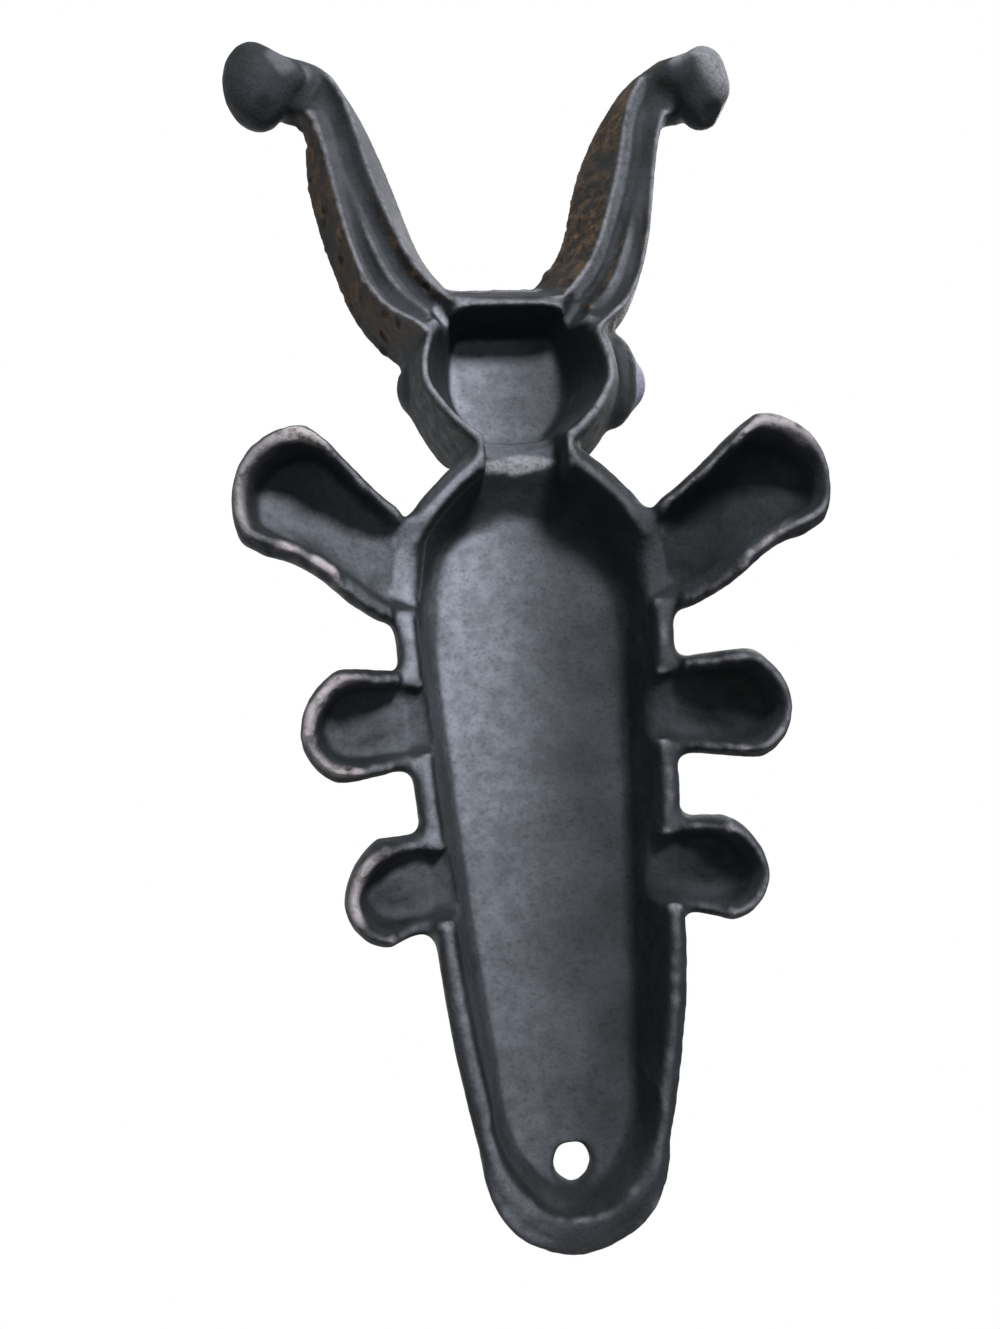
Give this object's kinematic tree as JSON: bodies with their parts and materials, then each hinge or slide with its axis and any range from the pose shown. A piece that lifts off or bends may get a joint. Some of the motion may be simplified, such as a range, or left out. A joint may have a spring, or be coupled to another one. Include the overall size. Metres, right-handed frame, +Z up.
{
  "type": "boot jack",
  "caption": "Cast-iron beetle-shaped boot jack: horned heel fork, hollow tapering body, scoop-shaped legs and a hanging hole in the tail.",
  "frame": {"origin": "on the ground plane, midway along the overall length, under the middle line; at rest on its six feet and the rim of its tail", "axes": "+Y towards the tail, -Y towards the heel fork and horns; +Z up; +X towards the right of a person who looks at the underside with the fork at the top"},
  "size_m": [0.1228, 0.266, 0.0613],
  "materials": {
    "painted_iron": "satin black paint over rough sand-cast iron, with brown rust on the flanks of the horns",
    "worn_iron": "satin black paint over rough sand-cast iron, worn to bare grey metal on the foot rims"
  },
  "bodies": {
    "root": {"thorax": "painted_iron", "right_wing_cover": "painted_iron", "left_wing_cover": "painted_iron", "tail_end": "painted_iron", "head": "painted_iron", "right_horn": "painted_iron", "left_horn": "painted_iron", "right_knob": "painted_iron", "left_knob": "painted_iron", "right_eye": "painted_iron", "left_eye": "painted_iron", "right_front_leg": "worn_iron", "left_front_leg": "worn_iron", "right_middle_leg": "worn_iron", "left_middle_leg": "worn_iron", "right_rear_leg": "worn_iron", "left_rear_leg": "worn_iron"}
  },
  "joints": []
}
